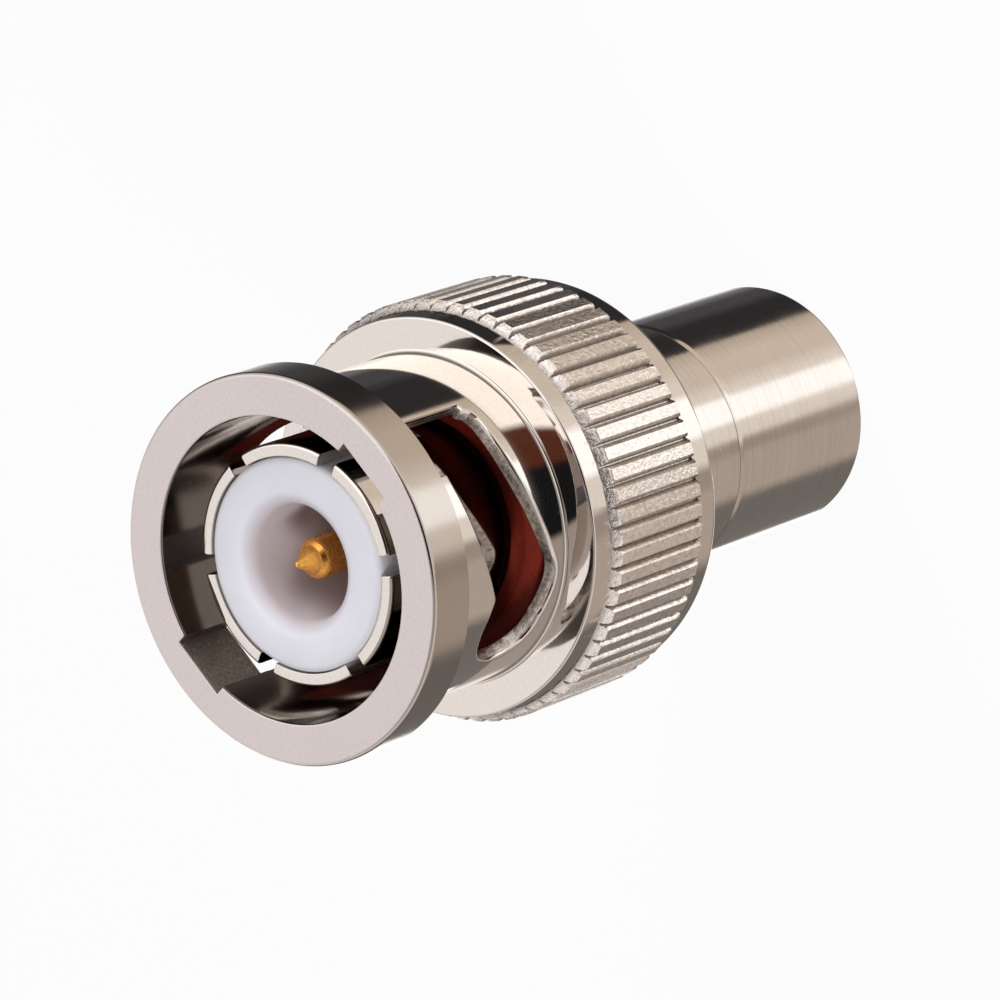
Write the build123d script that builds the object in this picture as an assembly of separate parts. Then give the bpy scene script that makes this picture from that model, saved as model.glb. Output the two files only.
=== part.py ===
from build123d import *
from math import cos, degrees, pi, radians, sin, sqrt
import os

os.makedirs("parts", exist_ok=True)

# Adapter between a bayonet coaxial jack and a phono plug.
# The axis is Z. The part stands on its phono end at z = 0 and the bayonet end is up, with a keyway at +X.
# All sizes are in millimetres and all angles in degrees, counter-clockwise from +X seen from above.

TOTAL_LENGTH = 25.5
TURNING_CLEARANCE = 0.06
SEAT_CLEARANCE = 0.02

# Plug body: spring-finger sleeve, flange, collar and rear tube, turned in one piece.
SLEEVE_RADIUS = 3.93
SLEEVE_WALL = 0.43
SLEEVE_SETBACK = 0.8
SLEEVE_EDGE = 0.12
FINGER_COUNT = 6
FINGER_SLOT_WIDTH = 0.65
FINGER_SLOT_DEPTH = 4.2
FINGER_SLOT_ANGLE = 22.0
WEB_DEPTH = 6.9
WEB_BORE_RADIUS = 2.0
FLANGE_DEPTH = 8.3
FLANGE_THICKNESS = 2.6
FLANGE_LAND = 0.86
COLLAR_RADIUS = 4.62
COLLAR_LENGTH = 3.7

# Coupling nut: front rim, neck with two bayonet tracks, shoulder, knurled grip, plain rear ring.
JACK_GAP = 1.01
RIM_LENGTH = 1.65
RIM_WALL = 0.885
RIM_EDGE = 0.15
RIM_BACK_SLOPE = 0.6
NECK_WALL = 0.5
SHOULDER_DEPTH = 7.58
SHOULDER_WALL = 0.74
SHOULDER_EDGE = 0.08
KNURL_DEPTH_FROM_FRONT = 8.25
KNURL_LENGTH = 4.5
KNURL_WALL = 0.79
KNURL_RIDGE_HEIGHT = 0.33
KNURL_RIDGES = 64
KNURL_CREST_SHARE = 0.46
KNURL_ROOT_SHARE = 0.16
KNURL_FRONT_CHAMFER = 0.42
REAR_RING_LENGTH = 1.13
REAR_RING_WALL = 0.84
REAR_RING_EDGE = 0.22

# Bayonet keyways and tracks: grooves in the rim's bore that lead to windows through the neck.
KEYWAY_COUNT = 2
KEYWAY_WIDTH = 2.08
KEYWAY_GROOVE_DEPTH = 0.31
KEYWAY_DEPTH = 5.45
TRACK_HALF_WIDTH = 1.42
TRACK_START_TURN = -2.0
TRACK_START_DEPTH = 4.36
TRACK_LOW_TURN = 56.5
TRACK_RISE_RATE = 0.0004
SEAT_TURN = 71.0
SEAT_DEPTH = 5.33
TRACK_SECTION_STEP = 5.0
TRACK_END_STEPS = 5
TRACK_PATH_STEPS = 240

# Gasket, washers and retaining ring.
GASKET_THICKNESS = 0.9
GASKET_CLEARANCE = 0.3
GASKET_SEAT_DEPTH = 0.35
WAVE_HEIGHT = 1.2
WAVE_THICKNESS = 0.25
WAVE_COUNT = 3
WAVE_STEPS = 10
WAVE_BORE_CLEARANCE = 0.12
WAVE_RIM_CLEARANCE = 0.26
THRUST_THICKNESS = 0.4
THRUST_BORE_CLEARANCE = 0.08
THRUST_RIM_CLEARANCE = 0.32
RING_THICKNESS = 0.6
RING_BORE_CLEARANCE = 0.38
RING_GROOVE_DEPTH = 0.3
RING_SPLIT_WIDTH = 1.6

# Phono shell.
SHELL_RADIUS = 4.15
SHELL_LENGTH = 6.85
SHELL_WALL = 0.85
SHELL_EDGE = 0.15
SHELL_STEP = 0.05
SPIGOT_WALL = 0.6
SPIGOT_LENGTH = 5.13
REAR_TUBE_WALL = 0.48

# Insulators and centre contacts.
PLUG_INSULATOR_SETBACK = 0.75
PLUG_CAVITY_RADIUS = 1.9
PLUG_CAVITY_DEPTH = 5.15
PLUG_CAVITY_LIP = 0.55
PIN_RADIUS = 0.665
PIN_SETBACK = 0.85
PIN_CONE_LENGTH = 1.0
PIN_TIP_RADIUS = 0.08
PIN_SHOULDER = 0.335
PIN_TAIL_LENGTH = 1.7
JACK_INSULATOR_SETBACK = 0.5
JACK_MOUTH_RADIUS = 1.8
JACK_MOUTH_LENGTH = 0.6
SOCKET_BORE_RADIUS = 1.6
SOCKET_WALL = 0.4
SOCKET_BASE_LENGTH = 2.1
SOCKET_SLOT_COUNT = 2
SOCKET_SLOT_WIDTH = 0.4
SOCKET_SLOT_DEPTH = 6.0
SOCKET_MOUTH_EDGE = 0.2

# Radii that follow from the sizes above.
NUT_BORE_RADIUS = SLEEVE_RADIUS + JACK_GAP
NECK_RADIUS = NUT_BORE_RADIUS + NECK_WALL
KEYWAY_FLOOR_RADIUS = NUT_BORE_RADIUS + KEYWAY_GROOVE_DEPTH
RIM_RADIUS = NECK_RADIUS + RIM_WALL
FLANGE_RADIUS = NUT_BORE_RADIUS + FLANGE_LAND
CHAMBER_RADIUS = FLANGE_RADIUS + TURNING_CLEARANCE
SHOULDER_RADIUS = CHAMBER_RADIUS + SHOULDER_WALL
KNURL_ROOT_RADIUS = CHAMBER_RADIUS + KNURL_WALL
KNURL_RADIUS = KNURL_ROOT_RADIUS + KNURL_RIDGE_HEIGHT
REAR_RING_RADIUS = CHAMBER_RADIUS + REAR_RING_WALL
RING_GROOVE_RADIUS = CHAMBER_RADIUS + RING_GROOVE_DEPTH
SLEEVE_BORE_RADIUS = SLEEVE_RADIUS - SLEEVE_WALL
GASKET_BORE_RADIUS = SLEEVE_RADIUS - GASKET_SEAT_DEPTH
SHELL_BORE_RADIUS = SHELL_RADIUS - SHELL_WALL
REAR_TUBE_RADIUS = SHELL_RADIUS - SHELL_STEP
REAR_TUBE_BORE_RADIUS = REAR_TUBE_RADIUS - REAR_TUBE_WALL
SPIGOT_RADIUS = REAR_TUBE_BORE_RADIUS - SEAT_CLEARANCE
SPIGOT_BORE_RADIUS = SPIGOT_RADIUS - SPIGOT_WALL
SOCKET_RADIUS = SOCKET_BORE_RADIUS + SOCKET_WALL
PIN_SHANK_RADIUS = PIN_RADIUS + PIN_SHOULDER
PIN_SEAT_RADIUS = PIN_SHANK_RADIUS + SEAT_CLEARANCE

# Heights that follow from the sizes above.
SHOULDER_Z = TOTAL_LENGTH - SHOULDER_DEPTH
KNURL_TOP_Z = TOTAL_LENGTH - KNURL_DEPTH_FROM_FRONT
KNURL_BOTTOM_Z = KNURL_TOP_Z - KNURL_LENGTH
NUT_BOTTOM_Z = KNURL_BOTTOM_Z - REAR_RING_LENGTH
FLANGE_TOP_Z = TOTAL_LENGTH - FLANGE_DEPTH
FLANGE_BOTTOM_Z = FLANGE_TOP_Z - FLANGE_THICKNESS
THRUST_TOP_Z = FLANGE_BOTTOM_Z - WAVE_HEIGHT
RING_TOP_Z = THRUST_TOP_Z - THRUST_THICKNESS
RING_BOTTOM_Z = RING_TOP_Z - RING_THICKNESS
COLLAR_BOTTOM_Z = FLANGE_BOTTOM_Z - COLLAR_LENGTH
SLEEVE_TOP_Z = TOTAL_LENGTH - SLEEVE_SETBACK
WEB_TOP_Z = TOTAL_LENGTH - WEB_DEPTH
GASKET_TOP_Z = FLANGE_TOP_Z + GASKET_THICKNESS
PLUG_INSULATOR_TOP_Z = TOTAL_LENGTH - PLUG_INSULATOR_SETBACK
PLUG_CAVITY_FLOOR_Z = PLUG_INSULATOR_TOP_Z - PLUG_CAVITY_DEPTH
PIN_TOP_Z = TOTAL_LENGTH - PIN_SETBACK
SPIGOT_TOP_Z = SHELL_LENGTH + SPIGOT_LENGTH
WEB_BOTTOM_Z = SPIGOT_TOP_Z + SEAT_CLEARANCE
SOCKET_BOTTOM_Z = JACK_INSULATOR_SETBACK + JACK_MOUTH_LENGTH
SOCKET_BORE_TOP_Z = WEB_BOTTOM_Z - SOCKET_BASE_LENGTH


def turned(*outline):
    """A solid of revolution from (radius, z) corners."""
    face = make_face(Polyline(*outline, close=True))
    return revolve(Plane.XZ * face, axis=Axis.Z)


def tube(outer_radius, bore_radius, bottom_z, top_z):
    """A plain tube from bottom_z to top_z."""
    return turned((bore_radius, bottom_z), (outer_radius, bottom_z), (outer_radius, top_z), (bore_radius, top_z))


def radial_slot(angle, width, inner_radius, outer_radius, bottom_z, top_z):
    """A straight-sided block that reaches outwards at the given angle."""
    length = outer_radius - inner_radius
    height = top_z - bottom_z
    block = Pos((inner_radius + outer_radius) / 2, 0, (bottom_z + top_z) / 2) * Box(length, width, height)
    return Rot(0, 0, angle) * block


def radial_section(angle, inner_radius, outer_radius, low_z, high_z):
    """A rectangle in the plane through the axis at the given angle."""
    corners = []
    for radius, z in ((inner_radius, low_z), (outer_radius, low_z), (outer_radius, high_z), (inner_radius, high_z)):
        corners.append((radius * cos(radians(angle)), radius * sin(radians(angle)), z))
    return Wire.make_polygon(corners, close=True)


def knurled_grip():
    """The band of straight ridges, chamfered in front so that each ridge ends in a tooth."""
    pitch = 2 * pi / KNURL_RIDGES
    crest = KNURL_CREST_SHARE * pitch / 2
    root = (1 - KNURL_ROOT_SHARE) * pitch / 2
    ridge = ((KNURL_ROOT_RADIUS, -root), (KNURL_RADIUS, -crest), (KNURL_RADIUS, crest), (KNURL_ROOT_RADIUS, root))
    corners = []
    for index in range(KNURL_RIDGES):
        for radius, turn in ridge:
            corners.append((radius * cos(index * pitch + turn), radius * sin(index * pitch + turn)))
    ridges = extrude(make_face(Polyline(*corners, close=True)), amount=KNURL_LENGTH)
    spare = KNURL_RIDGE_HEIGHT
    blank = turned(
        (CHAMBER_RADIUS, KNURL_BOTTOM_Z),
        (KNURL_RADIUS + spare, KNURL_BOTTOM_Z),
        (KNURL_RADIUS + spare, KNURL_TOP_Z - KNURL_FRONT_CHAMFER - spare),
        (KNURL_RADIUS - KNURL_FRONT_CHAMFER, KNURL_TOP_Z),
        (CHAMBER_RADIUS, KNURL_TOP_Z),
    )
    return blank & (Pos(0, 0, KNURL_BOTTOM_Z) * ridges)


def track_path():
    """The lug's path from keyway to seat, as (turn from the keyway, z) pairs."""
    start_z = TOTAL_LENGTH - TRACK_START_DEPTH
    seat_z = TOTAL_LENGTH - SEAT_DEPTH
    low_z = start_z - TRACK_RISE_RATE * (TRACK_LOW_TURN - TRACK_START_TURN) ** 2
    path = []
    for step in range(TRACK_PATH_STEPS + 1):
        turn = TRACK_START_TURN + (SEAT_TURN - TRACK_START_TURN) * step / TRACK_PATH_STEPS
        if turn < TRACK_LOW_TURN:
            z = start_z - TRACK_RISE_RATE * (turn - TRACK_START_TURN) ** 2
        else:
            z = low_z + (seat_z - low_z) * (turn - TRACK_LOW_TURN) / (SEAT_TURN - TRACK_LOW_TURN)
        path.append((turn, z))
    return path


def track_section(turn, path):
    """The track's cross-section at one turn: what a round cutter following the path removes there."""
    low_z = TOTAL_LENGTH
    high_z = 0
    for path_turn, path_z in path:
        along = radians(turn - path_turn) * NECK_RADIUS
        if abs(along) < TRACK_HALF_WIDTH:
            half = sqrt(TRACK_HALF_WIDTH**2 - along**2)
            low_z = min(low_z, path_z - half)
            high_z = max(high_z, path_z + half)
    return radial_section(-turn, SLEEVE_RADIUS, RIM_RADIUS, low_z, high_z)


def bayonet_cut():
    """One keyway from the front and the ramped track that it leads into, ending in a round seat."""
    window_bottom_z = TOTAL_LENGTH - KEYWAY_DEPTH
    window_top_z = TOTAL_LENGTH - RIM_LENGTH - RIM_BACK_SLOPE
    groove = radial_slot(0, KEYWAY_WIDTH, SLEEVE_RADIUS, KEYWAY_FLOOR_RADIUS, window_top_z, TOTAL_LENGTH)
    window = radial_slot(0, KEYWAY_WIDTH, SLEEVE_RADIUS, RIM_RADIUS, window_bottom_z, window_top_z)
    reach = degrees(TRACK_HALF_WIDTH / NECK_RADIUS)
    turns = [TRACK_START_TURN - reach / 2]
    while turns[-1] + TRACK_SECTION_STEP < SEAT_TURN:
        turns.append(turns[-1] + TRACK_SECTION_STEP)
    for step in range(TRACK_END_STEPS + 1):
        turns.append(SEAT_TURN + 0.998 * reach * sin(step * pi / 2 / TRACK_END_STEPS))
    path = track_path()
    track = Solid.make_loft([track_section(turn, path) for turn in turns], ruled=True)
    return groove + window + track


def coupling_nut():
    """The turning nut that draws the adapter onto the jack's lugs."""
    rim_bottom_z = TOTAL_LENGTH - RIM_LENGTH
    body = turned(
        (NUT_BORE_RADIUS, FLANGE_TOP_Z),
        (NUT_BORE_RADIUS, TOTAL_LENGTH),
        (RIM_RADIUS - RIM_EDGE, TOTAL_LENGTH),
        (RIM_RADIUS, TOTAL_LENGTH - RIM_EDGE),
        (RIM_RADIUS, rim_bottom_z),
        (NECK_RADIUS, rim_bottom_z - RIM_BACK_SLOPE),
        (NECK_RADIUS, SHOULDER_Z),
        (SHOULDER_RADIUS - SHOULDER_EDGE, SHOULDER_Z),
        (SHOULDER_RADIUS, SHOULDER_Z - SHOULDER_EDGE),
        (SHOULDER_RADIUS, KNURL_BOTTOM_Z),
        (REAR_RING_RADIUS, KNURL_BOTTOM_Z),
        (REAR_RING_RADIUS, NUT_BOTTOM_Z + REAR_RING_EDGE),
        (REAR_RING_RADIUS - REAR_RING_EDGE, NUT_BOTTOM_Z),
        (CHAMBER_RADIUS, NUT_BOTTOM_Z),
        (CHAMBER_RADIUS, FLANGE_TOP_Z),
    )
    groove = tube(RING_GROOVE_RADIUS, COLLAR_RADIUS, RING_BOTTOM_Z - SEAT_CLEARANCE, RING_TOP_Z + SEAT_CLEARANCE)
    nut = body + knurled_grip() - groove
    cut = bayonet_cut()
    for index in range(KEYWAY_COUNT):
        nut -= Rot(0, 0, index * 360 / KEYWAY_COUNT) * cut
    return nut


def retaining_ring():
    """The split ring in the nut's rear groove that holds the washers and the body in."""
    radius = RING_GROOVE_RADIUS - SEAT_CLEARANCE
    ring = tube(radius, COLLAR_RADIUS + RING_BORE_CLEARANCE, RING_BOTTOM_Z, RING_TOP_Z)
    return ring - radial_slot(90, RING_SPLIT_WIDTH, 0, RIM_RADIUS, RING_BOTTOM_Z, RING_TOP_Z)


def thrust_washer():
    """The flat washer that the retaining ring bears on."""
    radius = CHAMBER_RADIUS - THRUST_RIM_CLEARANCE
    return tube(radius, COLLAR_RADIUS + THRUST_BORE_CLEARANCE, RING_TOP_Z, THRUST_TOP_Z)


def wave_section(angle):
    """The wave washer's cross-section at one angle."""
    swing = (WAVE_HEIGHT - WAVE_THICKNESS) / 2
    low_z = THRUST_TOP_Z + swing * (1 + cos(radians(WAVE_COUNT * angle)))
    bore_radius = COLLAR_RADIUS + WAVE_BORE_CLEARANCE
    return radial_section(angle, bore_radius, CHAMBER_RADIUS - WAVE_RIM_CLEARANCE, low_z, low_z + WAVE_THICKNESS)


def wave_washer():
    """The wavy spring washer between the flange and the thrust washer."""
    arc = 360 / WAVE_COUNT
    waves = []
    for wave in range(WAVE_COUNT):
        sections = [wave_section(wave * arc + arc * step / WAVE_STEPS) for step in range(WAVE_STEPS + 1)]
        waves.append(Solid.make_loft(sections, ruled=True))
    return waves[0].fuse(*waves[1:])


def gasket():
    """The soft ring in its seat on the sleeve, where the jack's rim presses on it."""
    return tube(NUT_BORE_RADIUS - GASKET_CLEARANCE, GASKET_BORE_RADIUS, FLANGE_TOP_Z, GASKET_TOP_Z)


def plug_body():
    """The outer contact: slotted spring fingers in front, then flange, collar and rear tube."""
    body = turned(
        (SLEEVE_BORE_RADIUS, WEB_TOP_Z),
        (SLEEVE_BORE_RADIUS, SLEEVE_TOP_Z),
        (SLEEVE_RADIUS - SLEEVE_EDGE, SLEEVE_TOP_Z),
        (SLEEVE_RADIUS, SLEEVE_TOP_Z - SLEEVE_EDGE),
        (SLEEVE_RADIUS, GASKET_TOP_Z + SEAT_CLEARANCE),
        (GASKET_BORE_RADIUS, GASKET_TOP_Z + SEAT_CLEARANCE),
        (GASKET_BORE_RADIUS, FLANGE_TOP_Z),
        (FLANGE_RADIUS, FLANGE_TOP_Z),
        (FLANGE_RADIUS, FLANGE_BOTTOM_Z),
        (COLLAR_RADIUS, FLANGE_BOTTOM_Z),
        (COLLAR_RADIUS, COLLAR_BOTTOM_Z),
        (REAR_TUBE_RADIUS, COLLAR_BOTTOM_Z),
        (REAR_TUBE_RADIUS, SHELL_LENGTH),
        (REAR_TUBE_BORE_RADIUS, SHELL_LENGTH),
        (REAR_TUBE_BORE_RADIUS, WEB_BOTTOM_Z),
        (WEB_BORE_RADIUS, WEB_BOTTOM_Z),
        (WEB_BORE_RADIUS, WEB_TOP_Z),
    )
    slot_bottom_z = SLEEVE_TOP_Z - FINGER_SLOT_DEPTH
    for index in range(FINGER_COUNT):
        angle = FINGER_SLOT_ANGLE + index * 360 / FINGER_COUNT
        body -= radial_slot(angle, FINGER_SLOT_WIDTH, 0, NUT_BORE_RADIUS, slot_bottom_z, TOTAL_LENGTH)
    return body


def jack_shell():
    """The phono jack's outer contact, with a spigot that is pressed into the body's rear tube."""
    return turned(
        (SHELL_BORE_RADIUS, 0),
        (SHELL_RADIUS - SHELL_EDGE, 0),
        (SHELL_RADIUS, SHELL_EDGE),
        (SHELL_RADIUS, SHELL_LENGTH),
        (SPIGOT_RADIUS, SHELL_LENGTH),
        (SPIGOT_RADIUS, SPIGOT_TOP_Z),
        (SPIGOT_BORE_RADIUS, SPIGOT_TOP_Z),
        (SPIGOT_BORE_RADIUS, SHELL_LENGTH),
        (SHELL_BORE_RADIUS, SHELL_LENGTH),
    )


def plug_insulator():
    """The white sleeve inside the fingers, with a deep cavity and a chamfered lip around the pin."""
    outer = SLEEVE_BORE_RADIUS - SEAT_CLEARANCE
    tail = WEB_BORE_RADIUS - SEAT_CLEARANCE
    return turned(
        (PIN_SEAT_RADIUS, WEB_BOTTOM_Z),
        (tail, WEB_BOTTOM_Z),
        (tail, WEB_TOP_Z),
        (outer, WEB_TOP_Z),
        (outer, PLUG_INSULATOR_TOP_Z),
        (PLUG_CAVITY_RADIUS + PLUG_CAVITY_LIP, PLUG_INSULATOR_TOP_Z),
        (PLUG_CAVITY_RADIUS, PLUG_INSULATOR_TOP_Z - PLUG_CAVITY_LIP),
        (PLUG_CAVITY_RADIUS, PLUG_CAVITY_FLOOR_Z),
        (PIN_SEAT_RADIUS, PLUG_CAVITY_FLOOR_Z),
    )


def centre_pin():
    """The gilt pin on the axis, pointed in front, with a thicker shank behind."""
    tail_z = WEB_BOTTOM_Z - PIN_TAIL_LENGTH
    return turned(
        (0, tail_z),
        (PIN_SHANK_RADIUS, tail_z),
        (PIN_SHANK_RADIUS, PLUG_CAVITY_FLOOR_Z),
        (PIN_RADIUS, PLUG_CAVITY_FLOOR_Z),
        (PIN_RADIUS, PIN_TOP_Z - PIN_CONE_LENGTH),
        (PIN_TIP_RADIUS, PIN_TOP_Z),
        (0, PIN_TOP_Z),
    )


def jack_insulator():
    """The insulator that holds the socket contact in the phono shell."""
    outer = SHELL_BORE_RADIUS - SEAT_CLEARANCE
    spigot = SPIGOT_BORE_RADIUS - SEAT_CLEARANCE
    bore = SOCKET_RADIUS + SEAT_CLEARANCE
    return turned(
        (JACK_MOUTH_RADIUS, JACK_INSULATOR_SETBACK),
        (outer, JACK_INSULATOR_SETBACK),
        (outer, SHELL_LENGTH),
        (spigot, SHELL_LENGTH),
        (spigot, WEB_BOTTOM_Z),
        (bore, WEB_BOTTOM_Z),
        (bore, SOCKET_BOTTOM_Z),
        (JACK_MOUTH_RADIUS, SOCKET_BOTTOM_Z),
    )


def socket_contact():
    """The gilt socket for the phono plug's pin, slotted so that its two halves grip."""
    contact = turned(
        (SOCKET_BORE_RADIUS + SOCKET_MOUTH_EDGE, SOCKET_BOTTOM_Z),
        (SOCKET_RADIUS, SOCKET_BOTTOM_Z),
        (SOCKET_RADIUS, WEB_BOTTOM_Z),
        (PIN_SEAT_RADIUS, WEB_BOTTOM_Z),
        (PIN_SEAT_RADIUS, SOCKET_BORE_TOP_Z),
        (SOCKET_BORE_RADIUS, SOCKET_BORE_TOP_Z),
        (SOCKET_BORE_RADIUS, SOCKET_BOTTOM_Z + SOCKET_MOUTH_EDGE),
    )
    slot_top_z = SOCKET_BOTTOM_Z + SOCKET_SLOT_DEPTH
    for index in range(SOCKET_SLOT_COUNT):
        angle = index * 360 / SOCKET_SLOT_COUNT
        contact -= radial_slot(angle, SOCKET_SLOT_WIDTH, 0, SHELL_RADIUS, 0, slot_top_z)
    return contact


PARTS = {
    "coupling_nut": coupling_nut,
    "retaining_ring": retaining_ring,
    "thrust_washer": thrust_washer,
    "wave_washer": wave_washer,
    "gasket": gasket,
    "plug_body": plug_body,
    "jack_shell": jack_shell,
    "plug_insulator": plug_insulator,
    "centre_pin": centre_pin,
    "jack_insulator": jack_insulator,
    "socket_contact": socket_contact,
}

for name, make in PARTS.items():
    export_step(make(), f"parts/{name}.step")
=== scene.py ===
"""Looks of a coaxial adapter: bayonet plug with a turning knurled nut in front, phono jack behind.

All sizes are in millimetres in the part's own frame. The axis is Z, the phono end is at z = 0, one of
the nut's keyways is at +X and angles run counter-clockwise from there, seen from above.
"""

import logging
from dataclasses import dataclass
from enum import Enum, IntEnum
from math import asin, atan2, cos, degrees, hypot, pi, radians, sin, sqrt
from typing import Any, Callable, Iterable, Sequence

import bmesh
import bpy
from mathutils import Matrix, Vector


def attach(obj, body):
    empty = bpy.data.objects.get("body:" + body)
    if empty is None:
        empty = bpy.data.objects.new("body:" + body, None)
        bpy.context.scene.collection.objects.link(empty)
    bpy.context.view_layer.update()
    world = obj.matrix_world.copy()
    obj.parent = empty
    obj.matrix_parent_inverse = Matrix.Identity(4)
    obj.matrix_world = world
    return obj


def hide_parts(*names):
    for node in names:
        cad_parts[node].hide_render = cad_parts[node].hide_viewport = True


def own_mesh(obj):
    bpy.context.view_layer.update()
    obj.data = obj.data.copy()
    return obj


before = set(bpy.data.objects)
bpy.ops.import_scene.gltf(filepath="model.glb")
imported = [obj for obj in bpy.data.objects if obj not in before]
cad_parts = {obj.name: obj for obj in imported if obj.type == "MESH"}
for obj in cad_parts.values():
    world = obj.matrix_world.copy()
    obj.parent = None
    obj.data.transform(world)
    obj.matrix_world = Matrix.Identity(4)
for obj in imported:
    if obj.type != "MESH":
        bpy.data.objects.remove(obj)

MM = 0.001

# How far apart, in millimetres, points may lie to be merged, to be at one place, or to be level.
WELD = 2e-3
NEAR = 1e-3
EXACT = 1e-4

# Heights and radii that several pieces share.
WEB_TOP = 18.6
FLANGE_TOP = 17.2
WASHER_TOP = 13.4
WASHER_BOTTOM = 13.0
WEB_BOTTOM = 12.0
BARREL_TOP = 6.85
TUBE_RADIUS = 4.1
GASKET_BORE = 3.58
SHANK_BORE = 1.02

BM = bmesh.types.BMesh
Edge = bmesh.types.BMEdge
Tree = bpy.types.NodeTree
Socket = bpy.types.NodeSocket
Inputs = dict[str | int, Any] | Sequence[Any]
Point = tuple[float, float]

log = logging.getLogger("adapter")


class Body(str, Enum):
    """The bodies that pieces move with."""

    ADAPTER = "adapter_body"
    WASHER = "float_washer"
    NUT = "bayonet_nut"


class Skin(IntEnum):
    """The nut's material numbers, in the order of its finishes."""

    FACE = 0
    BRIGHT = 1
    MILLED = 2
    KNURL = 3
    BAND = 4
    BROACHED = 5
    # Darker bore nickel: painted shade inside the bore.
    SHADED_BORE = 6


def linear(hex_colour: str) -> tuple[float, float, float, float]:
    """Turn an sRGB hex colour into the linear one that nodes take.

    Args:
        hex_colour: six hex digits.

    Returns:
        Red, green, blue and an alpha of 1.
    """
    channels = [int(hex_colour[start:start + 2], 16) / 255 for start in (0, 2, 4)]
    red, green, blue = [c / 12.92 if c <= 0.04045 else ((c + 0.055) / 1.055) ** 2.4 for c in channels]
    return (red, green, blue, 1.0)


def fill(node: bpy.types.Node, inputs: Inputs) -> None:
    """Set or link a node's inputs.

    Args:
        node: the node.
        inputs: what they get, by input name or number or in their order: a value, an sRGB hex colour,
            or another node's output.
    """
    for name, value in inputs.items() if isinstance(inputs, dict) else enumerate(inputs):
        if isinstance(value, bpy.types.NodeSocket):
            node.id_data.links.new(value, node.inputs[name])
        else:
            node.inputs[name].default_value = linear(value) if isinstance(value, str) else value


def add_node(
    tree: Tree,
    kind: str,
    settings: dict[str, Any] | None = None,
    inputs: Inputs = (),
    out: str | int = 0,
) -> Socket:
    """Add a node with its settings, and set or link its inputs.

    Args:
        tree: the node tree.
        kind: the node's type name, without "ShaderNode".
        settings: attributes to set.
        inputs: what its inputs get, as fill() takes it.
        out: name or number of the output that is wanted.

    Returns:
        That output, which also knows its node.
    """
    node = tree.nodes.new("ShaderNode" + kind)
    for name, value in (settings or {}).items():
        setattr(node, name, value)
    fill(node, inputs)
    return node.outputs[out]


def per_mm(size: float) -> float:
    """The texture scale that gives a pattern of this size in millimetres."""
    return 1 / (size * MM)


def lathe_space(tree: Tree, place: Socket) -> tuple[Socket, Socket, Socket]:
    """Coordinates in which the rings that a tool leaves on turned work are straight.

    Args:
        tree: the node tree.
        place: the place on the object.

    Returns:
        The place without its height, its distance from the axis, and that distance with the height.
    """
    flat = add_node(tree, "VectorMath", {"operation": "MULTIPLY"}, (place, (1.0, 1.0, 0.0)))
    radius = add_node(tree, "VectorMath", {"operation": "LENGTH"}, (flat,), "Value")
    height = add_node(tree, "SeparateXYZ", None, {"Vector": place}, "Z")
    return flat, radius, add_node(tree, "CombineXYZ", None, {"X": radius, "Z": height})


# Finishes. Every size, spacing and depth in them is in millimetres. What a Map Range node gets in order is
# a value, the two ends of the range that it comes from, and the two that they become.

COLOURS = {"data_type": "RGBA"}


@dataclass(frozen=True)
class Finish:
    """A surface finish. Each kind says what its shader's sockets get."""

    name: str

    def looks(self, tree: Tree, place: Socket) -> Inputs:
        """What the shader's sockets get.

        Args:
            tree: the material's node tree.
            place: the place on the object.

        Returns:
            Values, and sockets for what varies over the surface, by socket name.
        """
        raise NotImplementedError

    def material(self) -> bpy.types.Material:
        """The finish's material, built once.

        Returns:
            The material.
        """
        found = bpy.data.materials.get(self.name)
        if found:
            return found
        material = bpy.data.materials.new(self.name)
        material.use_nodes = True
        tree = material.node_tree
        place = add_node(tree, "TexCoord", out="Object")
        fill(tree.nodes["Principled BSDF"], self.looks(tree, place))
        return material


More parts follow.
